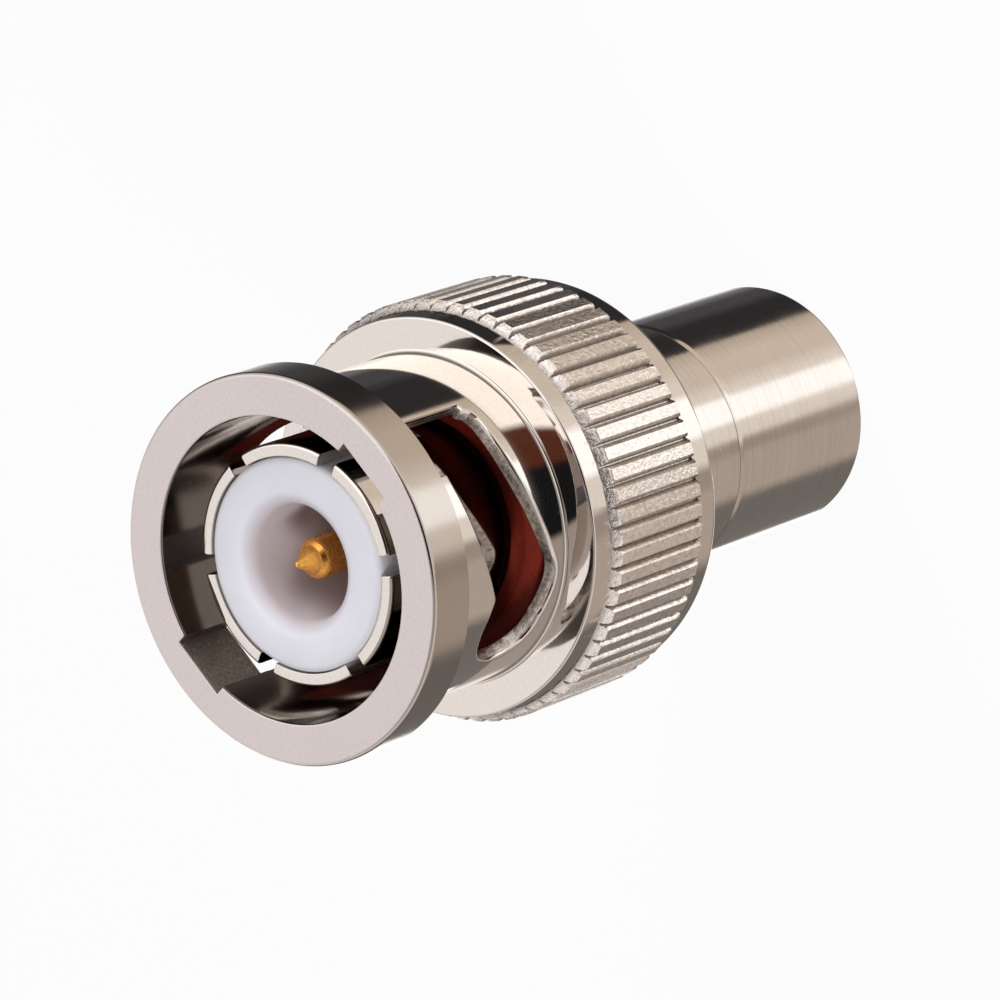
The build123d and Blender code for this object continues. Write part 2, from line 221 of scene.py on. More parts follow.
@dataclass(frozen=True)
class NickelPlate(Finish):
    """Nickel plated on turned brass, or bare steel in a colour of its own.

    The plating gives a warm mirror. What the eye reads as real is the tool's fine rings under it, a
    slight grain, and small dull specks. Real rings are about 0.05 mm apart and the plate's own grain is
    finer still. Both are too fine to show, so ring_spacing and grain_size are drawn coarser.
    """

    colour: str = "DDD6CF"
    stain: str = "BDB4AC"
    stain_share: float = 0.2
    roughness: float = 0.06
    roughness_spread: float = 0.04
    ring_spacing: float = 0.09
    ring_depth: float = 0.00012
    ring_stain: float = 0.0
    ring_waver: float = 0.02
    grain_size: float = 0.12
    grain_depth: float = 0.0002
    patch_size: float = 2.4
    speck_spacing: float = 0.8
    speck_roughness: float = 0.2
    # Painted shade in grooves: the radius below which it is full, how far above that it fades out, its
    # strength and its colour.
    groove_radius: float = 0.0
    groove_depth: float = 0.12
    groove_shade_share: float = 0.6
    groove_shade_colour: str = "3A3430"

    def looks(self, tree: Tree, place: Socket) -> Inputs:
        """What the shader's sockets get.

        Args:
            tree: the material's node tree.
            place: the place on the object.

        Returns:
            Values and sockets by socket name.
        """
        flat, radius, lathe = lathe_space(tree, place)
        waver = (self.ring_waver, self.ring_waver, 0.0)
        wavering = add_node(tree, "VectorMath", {"operation": "MULTIPLY_ADD"}, (flat, waver, lathe))
        rings, grain, patches = [
            add_node(
                tree, "TexNoise", None,
                {"Vector": where, "Scale": per_mm(size), "Detail": detail, "Roughness": rough},
            )
            for where, size, detail, rough in (
                (wavering, self.ring_spacing, 3.0, 0.65),
                (place, self.grain_size, 3.0, 0.7),
                (place, self.patch_size, 2.0, 0.5),
            )
        ]
        spots = add_node(
            tree, "TexVoronoi", {"feature": "F1"}, {"Vector": place, "Scale": per_mm(self.speck_spacing)}
        )
        specks = add_node(tree, "MapRange", None, (spots, 0.03, 0.05, 1.0, 0.0))
        grainy = add_node(tree, "MapRange", None, (grain, 0.4, 0.75, 0.0, self.stain_share))
        ringed = add_node(tree, "MapRange", None, (rings, 0.48, 0.68, 0.0, self.ring_stain))
        dulled = add_node(tree, "Math", {"operation": "ADD", "use_clamp": True}, (grainy, ringed))
        colour = add_node(tree, "Mix", COLOURS, {0: dulled, 6: self.colour, 7: self.stain}, 2)
        # Painted shade: the colour darkens towards the roots of grooves that reach down to groove_radius.
        if self.groove_radius:
            rise = (self.groove_radius * MM, (self.groove_radius + self.groove_depth) * MM)
            deep = add_node(tree, "MapRange", None, (radius, *rise, self.groove_shade_share, 0.0))
            colour = add_node(tree, "Mix", COLOURS, {0: deep, 6: colour, 7: self.groove_shade_colour}, 2)
        half = self.roughness_spread / 2
        blotched = add_node(
            tree, "MapRange", None, (patches, 0.3, 0.7, self.roughness - half, self.roughness + half)
        )
        specked = (specks, self.speck_roughness, blotched)
        rough = add_node(tree, "Math", {"operation": "MULTIPLY_ADD"}, specked)
        relief = add_node(
            tree, "Bump", None, {"Strength": 1.0, "Distance": self.ring_depth * MM, "Height": rings}
        )
        relief = add_node(
            tree, "Bump", None,
            {"Strength": 1.0, "Distance": self.grain_depth * MM, "Height": grain, "Normal": relief},
        )
        return {"Base Color": colour, "Metallic": 1.0, "Roughness": rough, "Normal": relief}


@dataclass(frozen=True)
class MilledNickel(Finish):
    """Nickel over walls that a cutter or broach left rough.

    The torn metal breaks every reflection up, which the eye reads as sparkle and pits. The chatter marks
    run along the tool's way: squeeze under 1 draws them upright, over 1 lying. They are drawn coarser
    than real ones, which are too fine to show.
    """

    name: str = "milled_nickel"
    colour: str = "F8F2EC"
    pit_colour: str = "75675E"
    chatter: float = 0.16
    squeeze: float = 0.25
    depth: float = 0.02
    pit_spacing: float = 0.09
    pit_depth: float = 0.004

    def looks(self, tree: Tree, place: Socket) -> Inputs:
        """What the shader's sockets get.

        Args:
            tree: the material's node tree.
            place: the place on the object.

        Returns:
            Values and sockets by socket name.
        """
        squeezed = add_node(tree, "Mapping", None, {"Vector": place, "Scale": (1.0, 1.0, self.squeeze)})
        marks = add_node(
            tree, "TexNoise", None,
            {"Vector": squeezed, "Scale": per_mm(self.chatter), "Detail": 3.0, "Roughness": 0.6},
        )
        pits = add_node(
            tree, "TexVoronoi", {"feature": "F1"}, {"Vector": place, "Scale": per_mm(self.pit_spacing)}
        )
        pitted = add_node(tree, "MapRange", None, (marks, 0.35, 0.62, 0.7, 0.0))
        colour = add_node(tree, "Mix", COLOURS, {0: pitted, 6: self.colour, 7: self.pit_colour}, 2)
        rough = add_node(tree, "MapRange", None, (pits, 0.0, 0.7, 0.2, 0.45))
        relief = add_node(tree, "Bump", None, {"Strength": 1.0, "Distance": self.depth * MM, "Height": marks})
        relief = add_node(
            tree, "Bump", None,
            {"Strength": 1.0, "Distance": self.pit_depth * MM, "Height": pits, "Normal": relief},
        )
        return {"Base Color": colour, "Metallic": 1.0, "Roughness": rough, "Normal": relief}


@dataclass(frozen=True)
class GoldPlate(Finish):
    """Gold plated on turned brass.

    It gives a deep, slightly satin yellow. The tool's rings still show, a little coarser than real ones.
    """

    name: str = "gilt_brass"
    colour: str = "FFC066"
    shade: str = "EAA048"
    ring_spacing: float = 0.07
    ring_depth: float = 0.002
    grain_size: float = 0.1

    def looks(self, tree: Tree, place: Socket) -> Inputs:
        """What the shader's sockets get.

        Args:
            tree: the material's node tree.
            place: the place on the object.

        Returns:
            Values and sockets by socket name.
        """
        stretched = add_node(tree, "Mapping", None, {"Vector": place, "Scale": (0.1, 0.1, 1.0)})
        rings = add_node(
            tree, "TexNoise", None,
            {"Vector": stretched, "Scale": per_mm(self.ring_spacing), "Detail": 2.0, "Roughness": 0.6},
        )
        grain = add_node(
            tree, "TexNoise", None, {"Vector": place, "Scale": per_mm(self.grain_size), "Detail": 2.0}
        )
        colour = add_node(tree, "Mix", COLOURS, {0: rings, 6: self.colour, 7: self.shade}, 2)
        rough = add_node(tree, "MapRange", None, (grain, 0.3, 0.7, 0.18, 0.34))
        relief = add_node(
            tree, "Bump", None, {"Strength": 1.0, "Distance": self.ring_depth * MM, "Height": rings}
        )
        return {"Base Color": colour, "Metallic": 1.0, "Roughness": rough, "Normal": relief}


@dataclass(frozen=True)
class TurnedPlastic(Finish):
    """White insulating plastic, turned from rod.

    It lets a little light in, so that edges look soft. Towards the deep cavity its colour turns greyer and
    slightly warm, as painted shade.
    The tool's faint rings dull its shine, and are drawn coarser than real ones, which don't show.
    """

    name: str = "turned_white_plastic"
    colour: str = "F2F1F6"
    shade: str = "E8E7EE"
    cloud_size: float = 1.5
    # Painted shade in the deep cavity, and the radii over which it fades in.
    cavity_shade_colour: str = "CDC2C4"
    cavity_shade_span: Point = (1.8, 2.3)
    ring_spacing: float = 0.12
    ring_depth: float = 0.0015
    light_reach: tuple[float, float, float] = (0.6, 0.6, 0.7)

    def looks(self, tree: Tree, place: Socket) -> Inputs:
        """What the shader's sockets get.

        Args:
            tree: the material's node tree.
            place: the place on the object.

        Returns:
            Values and sockets by socket name.
        """
        _, radius, lathe = lathe_space(tree, place)
        cloud, rings = [
            add_node(tree, "TexNoise", None, {"Vector": where, "Scale": per_mm(size), "Detail": detail})
            for where, size, detail in ((place, self.cloud_size, 3.0), (lathe, self.ring_spacing, 2.0))
        ]
        face = add_node(tree, "Mix", COLOURS, {0: cloud, 6: self.colour, 7: self.shade}, 2)
        # Painted shade: inside cavity_shade_span the colour turns towards the darker, warmer cavity colour as
        # the radius shrinks.
        inside = add_node(tree, "MapRange", None, (radius, *[end * MM for end in self.cavity_shade_span], 1.0, 0.0))
        colour = add_node(tree, "Mix", COLOURS, {0: inside, 6: face, 7: self.cavity_shade_colour}, 2)
        rough = add_node(tree, "MapRange", None, (cloud, 0.3, 0.7, 0.34, 0.48))
        relief = add_node(
            tree, "Bump", None, {"Strength": 1.0, "Distance": self.ring_depth * MM, "Height": rings}
        )
        return {
            "Base Color": colour,
            "Roughness": rough,
            "IOR": 1.45,
            "Subsurface Weight": 0.4,
            "Subsurface Radius": [reach * MM for reach in self.light_reach],
            "Subsurface Scale": 1.0,
            "Normal": relief,
        }


@dataclass(frozen=True)
class MouldedSilicone(Finish):
    """Red-brown silicone rubber, moulded.

    It is matt and soft. Its fine dusty grain is drawn coarse enough to show.
    """

    name: str = "moulded_silicone"
    colour: str = "983222"
    shade: str = "742317"
    grain_size: float = 0.15
    grain_depth: float = 0.006

    def looks(self, tree: Tree, place: Socket) -> Inputs:
        """What the shader's sockets get.

        Args:
            tree: the material's node tree.
            place: the place on the object.

        Returns:
            Values and sockets by socket name.
        """
        grain = add_node(
            tree, "TexNoise", None, {"Vector": place, "Scale": per_mm(self.grain_size), "Detail": 4.0}
        )
        colour = add_node(tree, "Mix", COLOURS, {0: grain, 6: self.colour, 7: self.shade}, 2)
        rough = add_node(tree, "MapRange", None, (grain, 0.3, 0.7, 0.45, 0.7))
        relief = add_node(
            tree, "Bump", None, {"Strength": 1.0, "Distance": self.grain_depth * MM, "Height": grain}
        )
        return {"Base Color": colour, "Roughness": rough, "IOR": 1.41, "Normal": relief}


# Nickel on a face that was turned flat: matt and greyer, since plating doesn't hide a facing tool's rings.
RIM_FACE = NickelPlate(
    "faced_nickel", colour="D2C9C7", stain="BBB1AD", stain_share=0.5, roughness=0.3, roughness_spread=0.08,
    grain_size=0.1, grain_depth=0.002, ring_spacing=0.12, ring_depth=0.0006,
)

# Nickel as it comes from the bath on smooth turned brass: a warm mirror.
BRIGHT = NickelPlate("bright_nickel")

# Nickel on the rim's band, which fingers and other plugs rub: its mirror is blurred and a little dull.
RIM_BAND = NickelPlate(
    "worn_nickel", colour="C6BDB5", roughness=0.17, roughness_spread=0.08, grain_depth=0.0008,
    stain_share=0.35,
)

# Nickel inside the bore, painted darker and browner as shade, since little light gets into the bore.
SHADED_BORE = NickelPlate(
    "bore_nickel_painted_shade", colour="8D827A", stain="6E645C", roughness=0.1, stain_share=0.4, ring_depth=0.0006
)

# Nickel on the keyways' broached walls: dull grey with lying marks.
BROACHED = MilledNickel(
    "broached_nickel", colour="BDB3AA", pit_colour="5A5049", chatter=0.14, squeeze=5.0, depth=0.01
)

# Nickel on the rolled knurl: pale frosted ridges, with painted shade darkening the grooves towards their
# roots.
KNURL = NickelPlate(
    "knurled_nickel", colour="FFF8F3", roughness=0.26, roughness_spread=0.1, stain="AFA59C", stain_share=0.5,
    grain_size=0.15, grain_depth=0.03, ring_spacing=0.3, ring_depth=0.0004, groove_radius=6.7,
    groove_shade_colour="8E857E",
)

# Nickel on the barrel's turned side: its mirror is drawn out along faint rings.
BARREL = NickelPlate(
    "turned_nickel", roughness=0.13, roughness_spread=0.07, ring_spacing=0.12, ring_depth=0.0011,
    grain_depth=0.0004, ring_stain=0.3, stain_share=0.15,
)

# Spring steel, rolled and left bare: cooler, greyer and duller than the plate.
SPRING = NickelPlate(
    "bare_spring_steel", colour="9A9A9C", stain="6C6A68", roughness=0.28, grain_size=0.15, grain_depth=0.0006,
)

MILLED = MilledNickel()
GOLD = GoldPlate()
PLASTIC = TurnedPlastic()
SILICONE = MouldedSilicone()


# Shapes. All meshes are in millimetres until settle() makes a piece of them.


@dataclass(frozen=True)
class Corner:
    """One corner of a turned outline: its radius, height and edge rounding."""

    radius: float
    z: float
    edge: float = 0.0


def off_axis(point: Vector) -> float:
    """A point's distance from the axis."""
    return hypot(point.x, point.y)


def heal(bm: BM, reach: float = 0.0) -> None:
    """Merge near points and turn the faces outwards.

    Args:
        bm: the mesh.
        reach: how near, or 0 to merge none.
    """
    if reach:
        bmesh.ops.remove_doubles(bm, verts=bm.verts[:], dist=reach)
    bmesh.ops.recalc_face_normals(bm, faces=bm.faces[:])


def turned(corners: Sequence[Corner], columns: int = 240, segments: int = 3) -> BM:
    """Spin an outline round the axis.

    Args:
        corners: the outline's corners in order. It is left open where it starts and ends on the axis.
        columns: how many steps a full turn has.
        segments: how many steps each rounded corner has.

    Returns:
        A closed mesh.
    """
    bm = bmesh.new()
    verts = [bm.verts.new((corner.radius, 0.0, corner.z)) for corner in corners]
    for start, end in zip(verts, verts[1:]):
        bm.edges.new((start, end))
    if corners[0].radius or corners[-1].radius:
        bm.edges.new((verts[-1], verts[0]))
    for corner, vert in zip(corners, verts):
        if corner.edge:
            bmesh.ops.bevel(
                bm, geom=[vert], offset=corner.edge, offset_type="OFFSET", segments=segments, profile=0.5,
                affect="VERTICES", material=-1,
            )
    bmesh.ops.spin(
        bm, geom=bm.verts[:] + bm.edges[:], axis=(0, 0, 1), cent=(0, 0, 0), angle=2 * pi, steps=columns,
        use_merge=True,
    )
    heal(bm, EXACT)
    return bm


def lift(bm: BM, faces: Sequence[bmesh.types.BMFace], height: float) -> None:
    """Extrude faces straight up.

    Args:
        bm: the mesh.
        faces: the faces.
        height: how far they go.
    """
    raised = bmesh.ops.extrude_face_region(bm, geom=faces)["geom"]
    risen = [item for item in raised if isinstance(item, bmesh.types.BMVert)]
    bmesh.ops.translate(bm, verts=risen, vec=(0, 0, height))
    heal(bm)


def prism(outline: Sequence[Point], low_z: float, high_z: float) -> BM:
    """Extrude a flat outline upwards.

    Args:
        outline: the outline's (x, y) corners in order.
        low_z: height of the bottom.
        high_z: height of the top.

    Returns:
        A closed mesh.
    """
    bm = bmesh.new()
    lift(bm, [bm.faces.new([bm.verts.new((x, y, low_z)) for x, y in outline])], high_z - low_z)
    return bm


def arc(radius: float, start: float, end: float, step: float = 1.5) -> list[Point]:
    """Points on an arc round the axis, at its ends and at whole steps between them.

    Args:
        radius: the arc's radius.
        start: first angle in degrees.
        end: last angle in degrees, which may be the lower one.
        step: spacing in degrees.

    Returns:
        The points in order.
    """
    least_gap = 0.2
    low, high = min(start, end), max(start, end)
    whole = [index * step for index in range(int(low // step), int(high // step) + 2)]
    angles = [low] + [angle for angle in whole if low + least_gap < angle < high - least_gap] + [high]
    if start > end:
        angles.reverse()
    return [(radius * cos(radians(angle)), radius * sin(radians(angle))) for angle in angles]


def soften(bm: BM, chosen: Callable[[Edge], bool], offset: float, segments: int = 2) -> None:
    """Bevel the edges that a test picks.

    Args:
        bm: the mesh.
        chosen: tells whether an edge is bevelled.
        offset: the bevel's width.
        segments: its steps.
    """
    edges = [edge for edge in bm.edges if chosen(edge)]
    bmesh.ops.bevel(
        bm, geom=edges, offset=offset, offset_type="OFFSET", segments=segments, profile=0.5, affect="EDGES",
        material=-1,
    )


def is_fold(edge: Edge) -> bool:
    """Whether two faces meet at this edge by more than 30 degrees."""
    return len(edge.link_faces) == 2 and edge.calc_face_angle(0.0) > radians(30)


def at_height(edge: Edge, z: float) -> bool:
    """Whether both ends of an edge lie at one height."""
    return all(abs(vert.co.z - z) < NEAR for vert in edge.verts)


def at_radius(edge: Edge, radius: float) -> bool:
    """Whether both ends of an edge lie at one distance from the axis."""
    return all(abs(off_axis(vert.co) - radius) < WELD for vert in edge.verts)


def on_ring(edge: Edge, radius: float, z: float) -> bool:
    """Whether an edge lies on the circle of this radius at this height."""
    return at_height(edge, z) and at_radius(edge, radius)


def swivel(bm: BM, angle: float) -> None:
    """Turn a whole mesh about the axis by degrees."""
    bmesh.ops.rotate(bm, verts=bm.verts[:], cent=(0, 0, 0), matrix=Matrix.Rotation(radians(angle), 3, "Z"))


def repeat(bm: BM, count: int) -> None:
    """Copy everything round the axis, so that there are count copies in all."""
    bmesh.ops.spin(
        bm, geom=bm.verts[:] + bm.edges[:] + bm.faces[:], axis=(0, 0, 1), cent=(0, 0, 0),
        angle=2 * pi * (count - 1) / count, steps=count - 1, use_duplicate=True,
    )


def open_ends(bm: BM, at_end: Callable[[Vector], bool]) -> None:
    """Take away the end faces of a half, so that its copy can be welded to it.

    Args:
        bm: the half.
        at_end: tells whether a point lies on an end.
    """
    ends = [face for face in bm.faces if all(at_end(vert.co) for vert in face.verts)]
    bmesh.ops.delete(bm, geom=ends, context="FACES")


def join(*parts: BM) -> BM:
    """Put several closed shells into one mesh.

    Args:
        parts: the shells, which are freed.

    Returns:
        The mesh that holds them all.
    """
    whole = bmesh.new()
    for part in parts:
        carrier = bpy.data.meshes.new("carrier")
        part.to_mesh(carrier)
        part.free()
        whole.from_mesh(carrier)
        bpy.data.meshes.remove(carrier)
    return whole


def put(name: str, data: bpy.types.ID) -> bpy.types.Object:
    """Put a mesh, lamp or camera into the scene as an object.

    Args:
        name: the object's name.
        data: what it holds.

    Returns:
        The object.
    """
    thing = bpy.data.objects.new(name, data)
    bpy.context.scene.collection.objects.link(thing)
    return thing


def true_rounds(mesh: bpy.types.Mesh, radii: Iterable[float]) -> None:
    """Give the faces of plain cylinders round the axis their exact normals, as a mirror finish needs.

    Args:
        mesh: the finished mesh, in metres.
        radii: the cylinders' radii in millimetres.
    """
    upright = 0.05
    slack = 3e-6
    normals = [Vector(corner.vector) for corner in mesh.corner_normals]
    wanted = [radius * MM for radius in radii]
    for polygon in mesh.polygons:
        if abs(polygon.normal.z) > upright:
            continue
        points = [mesh.vertices[index].co for index in polygon.vertices]
        reach = [off_axis(point) for point in points]
        if not any(all(abs(r - radius) < slack for r in reach) for radius in wanted):
            continue
        middle = sum(points, Vector()) / len(points)
        side = 1.0 if polygon.normal.x * middle.x + polygon.normal.y * middle.y > 0 else -1.0
        for loop_index, point, r in zip(polygon.loop_indices, points, reach):
            normals[loop_index] = Vector((side * point.x / r, side * point.y / r, 0.0))
    mesh.normals_split_custom_set([tuple(normal) for normal in normals])


def settle(
    bm: BM,
    name: str,
    finishes: Sequence[Finish],
    body: Body,
    node: str,
    rounds: Iterable[float] = (),
) -> bpy.types.Object:
    """Turn a mesh in millimetres into a dressed piece that stands for a CAD node.

    Args:
        bm: the mesh, which is freed.
        name: the piece's name.
        finishes: the finishes that its faces' material numbers point to.
        body: the body that it moves with.
        node: the CAD node that it stands for.
        rounds: radii of its plain cylinders.

    Returns:
        The piece.
    """
    sharp_angle = 32
    bmesh.ops.scale(bm, vec=(MM, MM, MM), verts=bm.verts[:])
    rough = bpy.data.meshes.new(name + "_rough")
    bm.to_mesh(rough)
    bm.free()
    rough.shade_smooth()
    rough.set_sharp_from_angle(angle=radians(sharp_angle))
    piece = put(name, rough)
    piece.modifiers.new("normals", "WEIGHTED_NORMAL").keep_sharp = True
    depsgraph = bpy.context.evaluated_depsgraph_get()
    mesh = bpy.data.meshes.new_from_object(piece.evaluated_get(depsgraph), depsgraph=depsgraph)
    piece.modifiers.clear()
    mesh.name = name
    piece.data = mesh
    bpy.data.meshes.remove(rough)
    for finish in finishes:
        mesh.materials.append(finish.material())
    true_rounds(mesh, rounds)
    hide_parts(node)
    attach(piece, body.value)
    log.info("%s: %d faces, rides on %s", name, len(mesh.polygons), body.value)
    return piece


# Sub-assemblies.


@dataclass
class CouplingNut:
    """The turning nut: slotted rim, neck with two cam tracks, shoulder, knurled grip and rear ring."""

    bore: float = 4.94
    neck_radius: float = 5.44
    neck_columns: int = 120
    rim_radius: float = 6.325
    rim_top: float = 25.5
    rim_bottom: float = 23.85
    rim_edge: float = 0.15
    rim_back_edge: float = 0.06
    mouth_edge: float = 0.09
    slope_bottom: float = 23.25
    key_width: float = 2.08
    key_floor: float = 5.17
    key_end: float = 20.05
    key_corner: float = 0.82
    key_straight: float = 30.0
    key_blend: float = 17.5
    track_rounding: float = 0.12
    track_inner_edge: float = 0.03
    track_step: float = 1.9
    track_lead: float = 6.0
    cutter: float = 1.42
    cutter_steps: int = 240
    track_start: Point = (-2.0, 21.14)
    track_low_turn: float = 56.5
    track_rate: float = 0.0004
    seat: Point = (71.0, 20.17)
    seat_steps: int = 18
    shoulder_z: float = 17.92
    shoulder_radius: float = 6.6
    shoulder_edge: float = 0.08
    foot_fillet: float = 0.12
    foot_sink: float = 0.03
    knurl_top: float = 17.25
    knurl_bottom: float = 12.75
    knurl_crest: float = 6.98
    knurl_root: float = 6.72
    knurl_chamfer: float = 0.3
    knurl_chamfer_rows: int = 7
    knurl_row: float = 0.55
    knurl_foot: float = 0.06
    ridges: int = 64
    ring_radius: float = 6.7
    ring_edge: float = 0.22
    bottom: float = 11.62
    chamber: float = 5.86
    chamber_edge: float = 0.1
    groove: float = 6.16
    groove_span: Point = (12.38, 13.02)
    ridge_columns: Sequence[Point] = (
        (-0.47, 0.0), (-0.42, 0.11), (-0.37, 0.2), (-0.27, 0.26),
        (0.27, 0.26), (0.37, 0.2), (0.42, 0.11), (0.47, 0.0),
    )

    def path_height(self, turn: float) -> float:
        """Height of the lug's centre on its way from the keyway to its seat.

        Args:
            turn: degrees from the keyway.

        Returns:
            The height.
        """
        start_turn, start_z = self.track_start
        if turn < self.track_low_turn:
            return start_z - self.track_rate * (turn - start_turn) ** 2
        low_z = start_z - self.track_rate * (self.track_low_turn - start_turn) ** 2
        share = (turn - self.track_low_turn) / (self.seat[0] - self.track_low_turn)
        return low_z + (self.seat[1] - low_z) * share

    def track_edge(self, turn: float, side: int) -> float:
        """Height of the track's upper or lower wall, as a round cutter on the path leaves it.

        Args:
            turn: degrees from the keyway.
            side: 1 for the upper wall, -1 for the lower one.

        Returns:
            The height.
        """
        heights = []
        for step in range(self.cutter_steps + 1):
            at = self.track_start[0] + (self.seat[0] - self.track_start[0]) * step / self.cutter_steps
            along = radians(turn - at) * self.neck_radius
            if abs(along) < self.cutter:
                heights.append(side * self.path_height(at) + sqrt(self.cutter**2 - along**2))
        return side * max(heights)

    def slot_outline(self) -> list[Point]:
        """The keyway and track as one notch in the unrolled neck, from the keyway's right side to its left.

        Returns:
            (arc length, height) points.
        """
        arc_mm = radians(1) * self.neck_radius
        key_half = asin(self.key_width / 2 / self.neck_radius) * self.neck_radius
        points = [(key_half, self.slope_bottom)]
        turn = key_half / arc_mm
        while turn < self.seat[0]:
            points.append((turn * arc_mm, self.track_edge(turn, 1)))
            turn += self.track_step
        for step in range(self.seat_steps + 1):
            angle = pi / 2 - pi * step / self.seat_steps
            points.append(
                (self.seat[0] * arc_mm + self.cutter * cos(angle), self.seat[1] + self.cutter * sin(angle))
            )
        turn = self.seat[0] - self.track_step
        while turn > self.track_start[0] - self.track_lead:
            points.append((turn * arc_mm, self.track_edge(turn, -1)))
            turn -= self.track_step
        points.append((-self.key_corner * key_half, self.key_end))
        points.append((-key_half, self.key_end))
        points.append((-key_half, self.slope_bottom))
        return points

    def neck(self) -> BM:
        """The neck: half of it is cut out flat, wrapped round the axis and repeated.

        Returns:
            The mesh.
        """
        top = self.slope_bottom
        thickness = self.neck_radius - self.bore
        left, right = -pi / 4 * self.neck_radius, 3 * pi / 4 * self.neck_radius
        outline = [(left, self.shoulder_z), (right, self.shoulder_z), (right, top)]
        outline += self.slot_outline() + [(left, top)]
        bm = prism(outline, 0.0, thickness)
        upright = Matrix(((1, 0, 0, 0), (0, 0, 1, 0), (0, 1, 0, 0), (0, 0, 0, 1)))
        bmesh.ops.transform(bm, matrix=upright, verts=bm.verts[:])
        heal(bm)

        def on_slot(edge: Edge, depth: float) -> bool:
            """Whether an edge of the flat neck belongs to the notch.

            Args:
                edge: the edge.
                depth: how deep under the neck's outside it has to lie.

            Returns:
                True where it does.
            """
            level = all(abs(vert.co.y - depth) < EXACT for vert in edge.verts)
            inside = all(left + 0.01 < vert.co.x < right - 0.01 for vert in edge.verts)
            return level and inside and not at_height(edge, top) and not at_height(edge, self.shoulder_z)

        for face in bm.faces:
            face.material_index = Skin.BRIGHT if abs(face.normal.y) > 0.5 else Skin.MILLED
        soften(bm, lambda edge: on_slot(edge, 0.0), self.track_rounding, 3)
        # The cutter's marks end where the notch is rounded off.
        for face in bm.faces:
            if 0.2 < abs(face.normal.y) < 0.98:
                face.material_index = Skin.BRIGHT
        soften(bm, lambda edge: on_slot(edge, thickness), self.track_inner_edge)
        for index in range(1, self.neck_columns):
            bmesh.ops.bisect_plane(
                bm, geom=bm.verts[:] + bm.edges[:] + bm.faces[:], dist=EXACT,
                plane_co=(left + (right - left) * index / self.neck_columns, 0, 0), plane_no=(1, 0, 0),
            )
        open_ends(bm, lambda point: abs(point.x - left) < NEAR or abs(point.x - right) < NEAR)
        for vert in bm.verts:
            vert.co = self.wrapped(vert.co)
        repeat(bm, 2)
        heal(bm, WELD)
        return bm

    def wrapped(self, flat: Vector) -> Vector:
        """Wrap one point of the flat neck round the axis, with the keyway's walls kept parallel.

        Args:
            flat: arc length, depth under the outside, and height.

        Returns:
            The point's place.
        """
        radius = self.neck_radius - flat.y
        turn = flat.x / self.neck_radius
        size = abs(turn)
        limit = radians(self.key_straight)
        if size < limit:
            straight = asin(min(1.0, self.neck_radius * sin(size) / radius))
            weight = min(1.0, (limit - size) / radians(self.key_blend))
            turn = (size + (straight - size) * weight) * (1 if turn > 0 else -1)
        return Vector((radius * cos(turn), -radius * sin(turn), flat.z))

    def rim(self) -> BM:
        """The front rim with its two keyways: half of it, repeated.

        Returns:
            The mesh.
        """
        half = self.key_width / 2
        mouth = degrees(asin(half / self.bore))
        outline = arc(self.neck_radius, -90, 90)
        outline += arc(self.bore, 90, mouth)
        outline += [(self.key_floor, half), (self.key_floor, -half)]
        outline += arc(self.bore, -mouth, -90)
        bm = prism(outline, self.slope_bottom, self.rim_bottom)
        grown = self.rim_radius / self.neck_radius
        for vert in bm.verts:
            if vert.co.z > self.rim_bottom - NEAR and abs(off_axis(vert.co) - self.neck_radius) < NEAR:
                vert.co = Vector((vert.co.x * grown, vert.co.y * grown, vert.co.z))
        top = [face for face in bm.faces if all(abs(v.co.z - self.rim_bottom) < NEAR for v in face.verts)]
        lift(bm, top, self.rim_top - self.rim_bottom)
        for face in bm.faces:
            centre = face.calc_center_median()
            upright = abs(face.normal.z) < 0.1
            in_key = abs(centre.y) < half + 0.01 and self.bore + 0.02 < centre.x < self.key_floor + 0.1
            if upright and in_key:
                face.material_index = Skin.BROACHED
            elif upright and off_axis(centre) > self.neck_radius:
                face.material_index = Skin.BAND
            else:
                face.material_index = Skin.FACE if face.normal.z > 0.9 else Skin.BRIGHT

        def on_mouth(edge: Edge) -> bool:
            """Whether an edge runs round the bore and keyway on the rim's front.

            Args:
                edge: the edge.

            Returns:
                True where it does.
            """
            inner = max(off_axis(vert.co) for vert in edge.verts) < self.key_floor + 0.2
            off_end = max(vert.co.x for vert in edge.verts) > 0.01
            return at_height(edge, self.rim_top) and is_fold(edge) and inner and off_end

        soften(bm, lambda edge: on_ring(edge, self.rim_radius, self.rim_top), self.rim_edge, 3)
        soften(bm, on_mouth, self.mouth_edge)
        soften(bm, lambda edge: on_ring(edge, self.rim_radius, self.rim_bottom), self.rim_back_edge)
        open_ends(bm, lambda point: abs(point.x) < NEAR)
        repeat(bm, 2)
        heal(bm, WELD)
        return bm

    def fillet(self) -> BM:
        """The small fillet where the neck meets the shoulder, sunk a little into both.

        Returns:
            The mesh.
        """
        size = self.foot_fillet
        centre = (self.neck_radius + size, self.shoulder_z + size)
        bend = [pi + step * pi / 8 for step in range(5)]
        corners = [Corner(centre[0] + size * cos(angle), centre[1] + size * sin(angle)) for angle in bend]
        hidden = Corner(self.neck_radius - self.foot_sink, self.shoulder_z - self.foot_sink)
        bm = turned((*corners, Corner(centre[0], hidden.z), hidden, Corner(hidden.radius, centre[1])))
        for face in bm.faces:
            face.material_index = Skin.BRIGHT
        return bm

